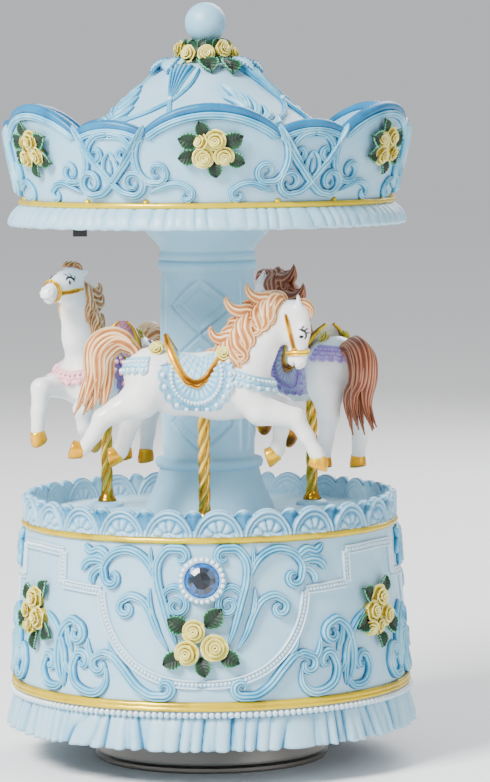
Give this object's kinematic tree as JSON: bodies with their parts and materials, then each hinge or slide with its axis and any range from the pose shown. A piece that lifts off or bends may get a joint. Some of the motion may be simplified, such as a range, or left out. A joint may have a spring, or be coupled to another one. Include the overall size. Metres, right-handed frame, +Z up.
{
  "type": "wind up music box",
  "caption": "Carousel music box: horses on twisted poles under a crown canopy, on a drum base that turns on its foot and holds a spring-wound movement.",
  "frame": {"origin": "on the table, at the middle of the turntable's foot", "axes": "+Z up along the winding arbor, -Y towards the front horse"},
  "size_m": [0.1104, 0.1104, 0.2],
  "materials": {
    "resin_blue": "cast resin painted pale blue, satin, with gold, deep blue and pearl details",
    "horse_resin": "cast resin with a pearl white paint, peach or brown mane and painted tack",
    "rose_cream": "cast resin roses painted pale yellow, dark green leaves",
    "gold": "polished gold plated twist",
    "gem": "faceted blue stone with a dark foil back",
    "nickel": "dark nickel plated steel, satin",
    "steel": "bright steel",
    "spring_steel": "blued spring steel",
    "brass": "satin brass",
    "black_plastic": "moulded black plastic",
    "led_lens": "milky lamp lens",
    "wire": "thin red insulated lead"
  },
  "bodies": {
    "turntable": {"turntable_dish": "nickel", "turntable_screw": "steel", "winding_arbor": "steel", "great_wheel": "brass"},
    "drum": {"pin_drum": "brass", "drum_arbor": "steel", "drum_pinion": "brass", "drum_wheel": "brass"},
    "governor": {"governor_arbor": "steel", "governor_pinion": "brass", "worm_wheel": "brass"},
    "fan": {"worm": "steel", "air_brake": "steel"},
    "switch": {"switch_knob": "black_plastic"},
    "carousel": {"base_housing": "resin_blue", "bottom_cover": "black_plastic", "bottom_cover_screws": "steel", "base_rose_clusters": "rose_cream", "front_gem": "gem", "left_gem": "gem", "right_gem": "gem", "centre_column": "resin_blue", "front_pole": "gold", "right_pole": "gold", "left_pole": "gold", "front_horse": "horse_resin", "right_horse": "horse_resin", "left_horse": "horse_resin", "cornice": "resin_blue", "roof": "resin_blue", "cornice_rose_clusters": "rose_cream", "finial_roses": "rose_cream", "finial_ball": "resin_blue", "canopy_plate": "resin_blue", "canopy_plate_screws": "steel", "switch_body": "black_plastic", "lamp_leds": "led_lens", "lamp_wires": "wire", "battery_holder": "black_plastic", "lamp_cells": "steel", "battery_door": "resin_blue", "battery_door_screw": "steel", "bedplate": "brass", "movement_screws": "steel", "spring_housing": "brass", "spring_cover": "brass", "mainspring": "spring_steel", "drum_bearings": "brass", "comb": "steel", "comb_screws": "steel", "governor_frame": "brass"}
  },
  "joints": [
    {"name": "carousel_spin", "type": "hinge", "parent": "turntable", "child": "carousel", "pos_m": [0, 0, 0], "axis": [0, 0, 1], "continuous": true},
    {"name": "drum_spin", "type": "hinge", "parent": "carousel", "child": "drum", "pos_m": [0.02, 0, 0.0235], "axis": [1, 0, 0], "continuous": true},
    {"name": "governor_spin", "type": "hinge", "parent": "carousel", "child": "governor", "pos_m": [0.037, 0.0075, 0.0235], "axis": [1, 0, 0], "continuous": true},
    {"name": "fan_spin", "type": "hinge", "parent": "carousel", "child": "fan", "pos_m": [0.0388, 0.01145, 0.0235], "axis": [0, 0, 1], "continuous": true},
    {"name": "switch_slide", "type": "slide", "parent": "carousel", "child": "switch", "axis": [1, 0, 0], "range_m": [0, 0.0022]}
  ],
  "couplings": [
    {"joint": "drum_spin", "follows": "carousel_spin", "ratio": 4},
    {"joint": "governor_spin", "follows": "carousel_spin", "ratio": -16},
    {"joint": "fan_spin", "follows": "carousel_spin", "ratio": 320}
  ]
}
